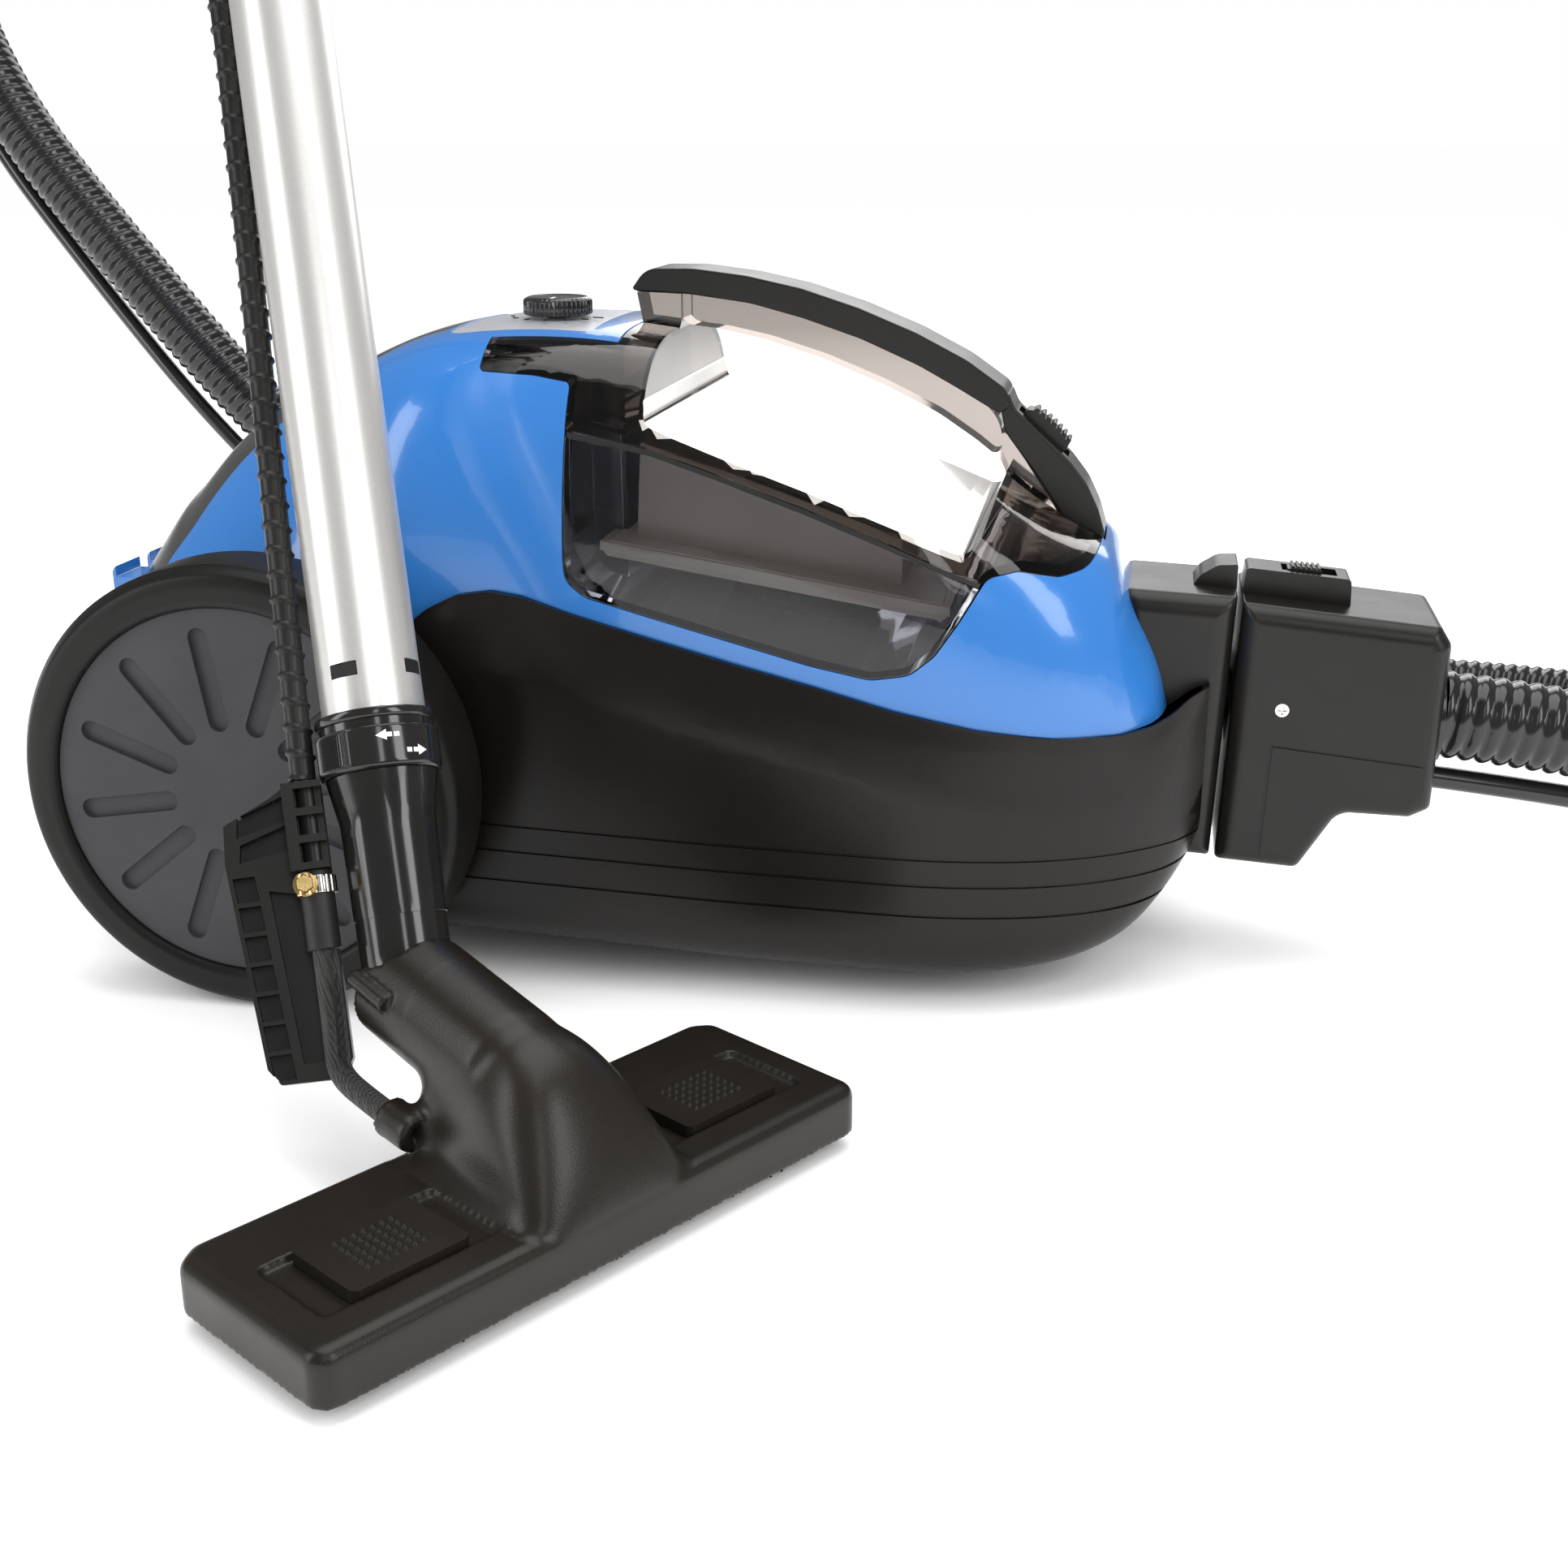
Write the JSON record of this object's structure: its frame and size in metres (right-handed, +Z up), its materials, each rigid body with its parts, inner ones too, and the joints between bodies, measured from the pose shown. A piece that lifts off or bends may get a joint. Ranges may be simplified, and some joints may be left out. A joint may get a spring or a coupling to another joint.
{
  "type": "canister vacuum cleaner",
  "caption": "Canister vacuum cleaner with rear wheels, front caster, lift-out smoked dust tank, suction and water hoses, wand with bent handle and tilting floor nozzle.",
  "frame": {"origin": "bottom centre of the box round the cleaner, its wand and its nozzle, on the floor, without the loose hose and water tube", "axes": "+Z up, +X towards the hose connector at the cleaner's front, +Y to the cleaner's left"},
  "size_m": [1.2659, 0.9534, 1.0281],
  "materials": {
    "cover_blue": "gloss",
    "trim_grey": "satin",
    "panel_silver": "satin",
    "black_gloss": "gloss",
    "smoke": "gloss",
    "smoke_cup": "gloss",
    "seal_black": "matte",
    "black_satin": "satin",
    "clear_frame": "gloss",
    "filter_dark": "matte",
    "shell_black": "satin",
    "nozzle_black": "satin",
    "hub_grey": "matte",
    "tyre_black": "matte",
    "steel": "satin",
    "motor_metal": "satin",
    "internal_plastic": "matte",
    "tube_aluminium": "satin",
    "hose_black": "gloss",
    "tube_black": "gloss",
    "braid_black": "matte",
    "bristle": "matte"
  },
  "bodies": {
    "cleaner": {"upper_cover": "cover_blue", "rear_spine_trim": "trim_grey", "control_panel": "panel_silver", "speed_control": "black_satin", "lower_shell": "shell_black", "motor_housing": "motor_metal", "water_pump": "internal_plastic", "cord_outlet_bush": "seal_black", "park_bracket": "cover_blue", "stub_axles": "steel", "front_port": "black_satin", "connector_shell_right": "black_satin", "connector_shell_left": "black_satin", "connector_screws": "steel", "hose_cuff": "black_gloss", "wand_lower_tube": "tube_aluminium", "tube_lock_sleeve": "black_satin", "nozzle_elbow": "black_gloss", "wand_coupling": "black_satin", "wand_upper_tube": "tube_aluminium", "handle_pipe": "black_satin", "hose_swivel_cuff": "black_satin", "wand_water_tube": "tube_black", "water_tube_clips": "black_satin", "trigger_housing": "black_satin", "park_hook": "black_satin", "worm_clamp": "steel", "rubber_tube": "seal_black", "braided_hose": "braid_black", "suction_hose": "hose_black", "hose_water_tube": "tube_black"},
    "wheel_right": {"wheel_hub_right": "hub_grey", "tyre_right": "tyre_black"},
    "wheel_left": {"wheel_hub_left": "hub_grey", "tyre_left": "tyre_black"},
    "caster_swivel": {"caster_fork": "black_satin", "caster_axle": "steel"},
    "caster_roll": {"caster_wheel": "tyre_black"},
    "tank": {"tank_lid": "smoke", "tank_cup": "smoke_cup", "tank_gasket": "seal_black", "handle_grip": "black_satin", "handle_front_leg": "black_satin", "dirt_separator": "clear_frame", "filter_cartridge": "filter_dark"},
    "tank_release": {"tank_release_slider": "black_satin"},
    "knob": {"power_knob": "black_gloss"},
    "latch": {"latch_slide": "black_satin"},
    "collar": {"lock_collar": "black_gloss"},
    "nozzle": {"nozzle_head": "nozzle_black", "sole_plate": "nozzle_black", "brush_strips": "bristle", "roller_axles": "steel"},
    "rollers": {"sole_rollers": "tyre_black"},
    "vent_right": {"vent_slide_right": "nozzle_black"},
    "vent_left": {"vent_slide_left": "nozzle_black"},
    "trigger": {"spray_trigger": "black_satin"},
    "relief": {"suction_relief_slide": "black_satin"},
    "fan": {"motor_fan": "internal_plastic"},
    "reel": {"cord_reel": "internal_plastic"}
  },
  "joints": [
    {"name": "wheel_right_spin", "type": "hinge", "parent": "cleaner", "child": "wheel_right", "pos_m": [-0.13272, -0.07692, 0.095], "axis": [0, 1, 0], "continuous": true},
    {"name": "wheel_left_spin", "type": "hinge", "parent": "cleaner", "child": "wheel_left", "pos_m": [-0.13272, 0.18308, 0.095], "axis": [0, 1, 0], "continuous": true},
    {"name": "caster_turn", "type": "hinge", "parent": "cleaner", "child": "caster_swivel", "pos_m": [0.16528, 0.05308, 0.055], "axis": [0, 0, 1], "continuous": true},
    {"name": "caster_spin", "type": "hinge", "parent": "caster_swivel", "child": "caster_roll", "pos_m": [0.15228, 0.05308, 0.021], "axis": [0, 1, 0], "continuous": true},
    {"name": "tank_lift", "type": "slide", "parent": "cleaner", "child": "tank", "axis": [0, 0, 1], "range_m": [0, 0.06]},
    {"name": "tank_release_push", "type": "slide", "parent": "tank", "child": "tank_release", "axis": [0.7448, 0, -0.6672], "range_m": [-0.0022, 0.0022]},
    {"name": "knob_turn", "type": "hinge", "parent": "cleaner", "child": "knob", "pos_m": [-0.02872, 0.03908, 0.27], "axis": [0, 0, 1], "range_deg": [-135, 135]},
    {"name": "latch_push", "type": "slide", "parent": "cleaner", "child": "latch", "axis": [0.997, 0, -0.0778], "range_m": [0, 0.006]},
    {"name": "collar_turn", "type": "hinge", "parent": "cleaner", "child": "collar", "pos_m": [-0.04048, -0.16441, 0.15409], "axis": [-0.2338, 0.4006, 0.8859], "range_deg": [0, 30]},
    {"name": "nozzle_tilt", "type": "hinge", "parent": "cleaner", "child": "nozzle", "pos_m": [-0.01798, -0.20296, 0.06883], "axis": [0.8172, -0.5307, -0.225], "range_deg": [-20, 20], "deforming": ["braided_hose"]},
    {"name": "rollers_spin", "type": "hinge", "parent": "nozzle", "child": "rollers", "pos_m": [0.05679, -0.25025, 0.006], "axis": [0.5446, 0.8387, 0], "continuous": true},
    {"name": "vent_right_slide", "type": "slide", "parent": "nozzle", "child": "vent_right", "axis": [0.5446, 0.8387, 0], "range_m": [-0.009, 0.009]},
    {"name": "vent_left_slide", "type": "slide", "parent": "nozzle", "child": "vent_left", "axis": [0.5446, 0.8387, 0], "range_m": [-0.009, 0.009]},
    {"name": "trigger_pull", "type": "hinge", "parent": "cleaner", "child": "trigger", "pos_m": [-0.24177, 0.18886, 0.86005], "axis": [-0.9137, -0.4019, -0.0594], "range_deg": [-6, 0], "stiffness_Nm_per_rad": 0.3, "springref_deg": 5.73},
    {"name": "relief_slide", "type": "slide", "parent": "cleaner", "child": "relief", "axis": [-0.4836, 0.8307, 0.2757], "range_m": [0, 0.012]},
    {"name": "fan_spin", "type": "hinge", "parent": "cleaner", "child": "fan", "pos_m": [0.00328, 0.05308, 0.078], "axis": [1, 0, 0], "continuous": true},
    {"name": "reel_spin", "type": "hinge", "parent": "cleaner", "child": "reel", "pos_m": [-0.13772, 0.05308, 0.116], "axis": [0, 1, 0], "continuous": true}
  ]
}
